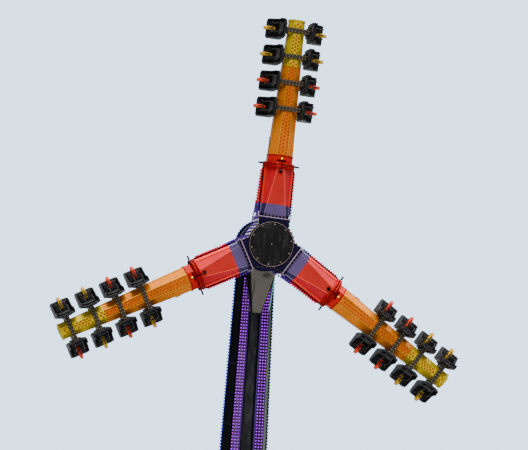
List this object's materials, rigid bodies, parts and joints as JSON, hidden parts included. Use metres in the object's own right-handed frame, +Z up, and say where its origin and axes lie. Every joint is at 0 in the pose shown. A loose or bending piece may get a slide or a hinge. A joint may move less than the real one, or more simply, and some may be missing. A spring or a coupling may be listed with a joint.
{
  "type": "three-armed spinning tower ride",
  "caption": "Fairground tower ride: a turning hub on a tapered tower carries spinning arms with rows of outward-facing seats.",
  "frame": {"origin": "on the ground under the middle of the tower, on the underside of the centre frame", "axes": "+Z up, -Y towards the viewer along the hub axis, +X to the viewer's right"},
  "size_m": [14.3719, 7.36, 17.383],
  "materials": {
    "base_steel": "dark grey painted steel, scuffed",
    "tower_black": "black gloss paint, dusty",
    "bulb_panel": "purple panel with rows of small bulbs",
    "channel_black": "near-black with grease smears",
    "apron_grey": "dull warm grey sheet, smeared",
    "edge_strip": "grey-green painted strip",
    "head_blue": "dark blue paint with bulb rows",
    "hub_indigo": "dark indigo gloss paint",
    "cover_black": "near-black satin disc",
    "cover_ring": "thin pale bolted ring",
    "bearing_steel": "bare machined steel",
    "root_red": "bright red gloss paint, purple at the hub end",
    "flange_red": "dark red gloss paint",
    "beam_orange": "ochre orange gloss paint, yellow towards the tip",
    "seat_black": "black moulded shells with coloured saddles"
  },
  "bodies": {
    "tower": {"centre_frame": "base_steel", "outrigger_front_left": "base_steel", "outrigger_front_right": "base_steel", "outrigger_rear_left": "base_steel", "outrigger_rear_right": "base_steel", "mast_foot": "base_steel", "tower_column": "tower_black", "left_bulb_panel": "bulb_panel", "right_bulb_panel": "bulb_panel", "right_edge_strip": "edge_strip", "centre_channel": "channel_black", "apron_bracket": "head_blue", "apron_plate": "apron_grey", "tower_head": "head_blue", "left_side_rail": "head_blue", "right_side_rail": "head_blue"},
    "rotor": {"hub_body": "hub_indigo", "main_bearing": "bearing_steel", "hub_cover": "cover_black", "cover_ring": "cover_ring", "arm_root_top": "root_red", "ring_flange_top": "flange_red", "arm_root_right": "root_red", "ring_flange_right": "flange_red", "arm_root_left": "root_red", "ring_flange_left": "flange_red"},
    "top_arm": {"arm_collar_top": "flange_red", "arm_beam_top": "beam_orange", "seat_row_top_1": "seat_black", "seat_row_top_2": "seat_black", "seat_row_top_3": "seat_black", "seat_row_top_4": "seat_black"},
    "right_arm": {"arm_collar_right": "flange_red", "arm_beam_right": "beam_orange", "seat_row_right_1": "seat_black", "seat_row_right_2": "seat_black", "seat_row_right_3": "seat_black", "seat_row_right_4": "seat_black"},
    "left_arm": {"arm_collar_left": "flange_red", "arm_beam_left": "beam_orange", "seat_row_left_1": "seat_black", "seat_row_left_2": "seat_black", "seat_row_left_3": "seat_black", "seat_row_left_4": "seat_black"}
  },
  "joints": [
    {"name": "rotor_turn", "type": "hinge", "parent": "tower", "child": "rotor", "pos_m": [0, -1.95, 9.6], "axis": [0, 1, 0], "continuous": true},
    {"name": "top_arm_spin", "type": "hinge", "parent": "rotor", "child": "top_arm", "pos_m": [0, -1.95, 9.6], "axis": [0.061, 0, 0.9981], "continuous": true},
    {"name": "right_arm_spin", "type": "hinge", "parent": "rotor", "child": "right_arm", "pos_m": [0, -1.95, 9.6], "axis": [0.8339, 0, -0.5519], "continuous": true},
    {"name": "left_arm_spin", "type": "hinge", "parent": "rotor", "child": "left_arm", "pos_m": [0, -1.95, 9.6], "axis": [-0.8949, 0, -0.4462], "continuous": true}
  ]
}
